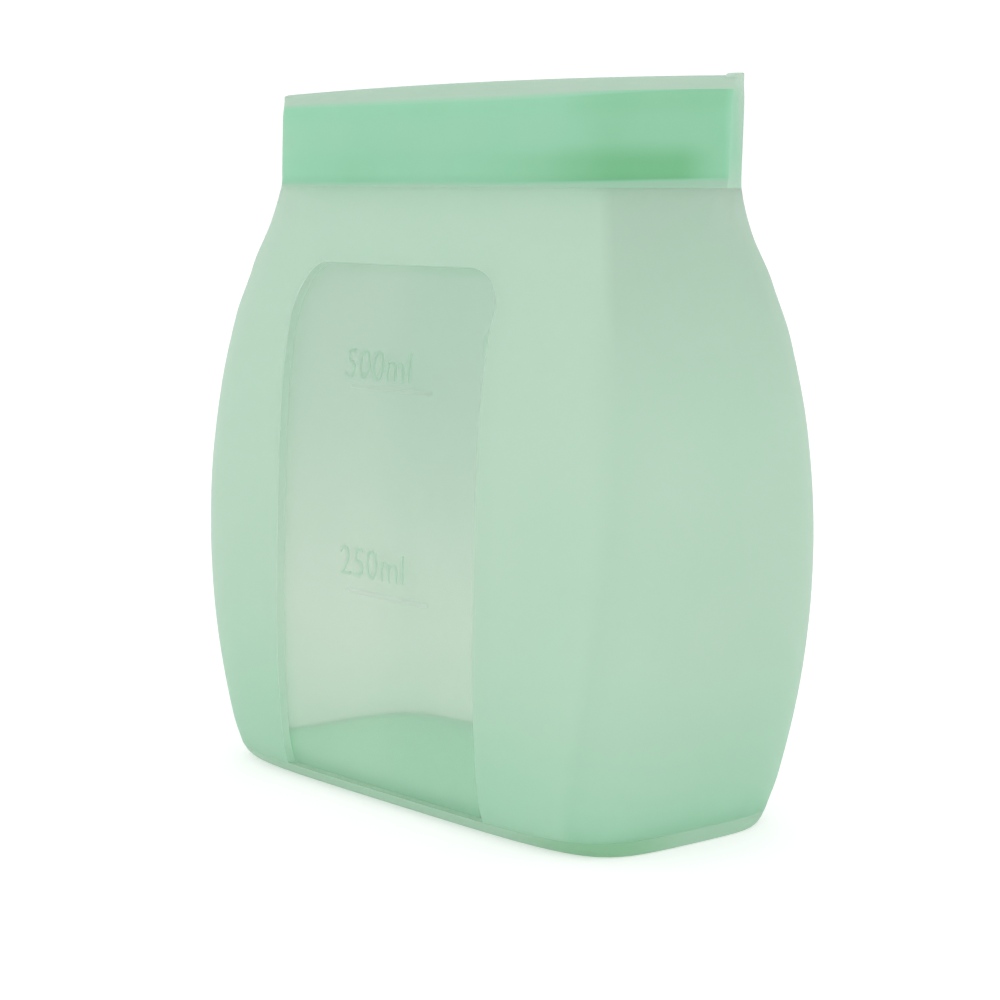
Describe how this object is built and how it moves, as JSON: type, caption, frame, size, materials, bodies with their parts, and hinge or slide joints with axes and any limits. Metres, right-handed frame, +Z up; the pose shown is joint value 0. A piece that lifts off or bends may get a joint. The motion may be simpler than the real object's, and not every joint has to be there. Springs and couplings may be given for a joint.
{
  "type": "reusable silicone bag",
  "caption": "Stand-up translucent silicone storage bag with a flat base, soft bulging walls, a clear marked window and a press-shut mouth that opens both ways.",
  "frame": {"origin": "centre of the underside, on the table", "axes": "+Z up, width along X, front with the marked window faces -Y"},
  "size_m": [0.149, 0.0594, 0.136],
  "materials": {
    "silicone_skin": "matt translucent mint silicone",
    "silicone_clear": "smoother, clearer silicone",
    "silicone_thick": "matt translucent silicone, deeper where it is thick",
    "silicone_band": "matt green silicone, nearly opaque",
    "silicone_lip": "matt pale silicone"
  },
  "bodies": {
    "pouch": {"base_floor": "silicone_thick", "foot_rim": "silicone_thick", "front_wall": "silicone_skin", "window_panel": "silicone_clear", "back_wall": "silicone_skin", "left_side_wall": "silicone_skin", "right_side_wall": "silicone_skin", "left_end_block": "silicone_lip", "right_end_block": "silicone_lip", "volume_lines": "silicone_clear", "volume_numerals": "silicone_clear"},
    "front_mouth": {"front_shoulder": "silicone_skin", "front_band": "silicone_band", "front_seal_rails": "silicone_band", "front_lip": "silicone_lip"},
    "back_mouth": {"back_shoulder": "silicone_skin", "back_band": "silicone_band", "back_seal_track": "silicone_band", "back_lip": "silicone_lip"}
  },
  "joints": [
    {"name": "front_mouth_swing", "type": "hinge", "parent": "pouch", "child": "front_mouth", "pos_m": [0, -0.0191, 0.103], "axis": [1, 0, 0], "range_deg": [0, 38]},
    {"name": "back_mouth_swing", "type": "hinge", "parent": "pouch", "child": "back_mouth", "pos_m": [0, 0.0191, 0.103], "axis": [-1, 0, 0], "range_deg": [0, 38]}
  ],
  "couplings": [
    {"joint": "back_mouth_swing", "follows": "front_mouth_swing", "ratio": 1}
  ]
}
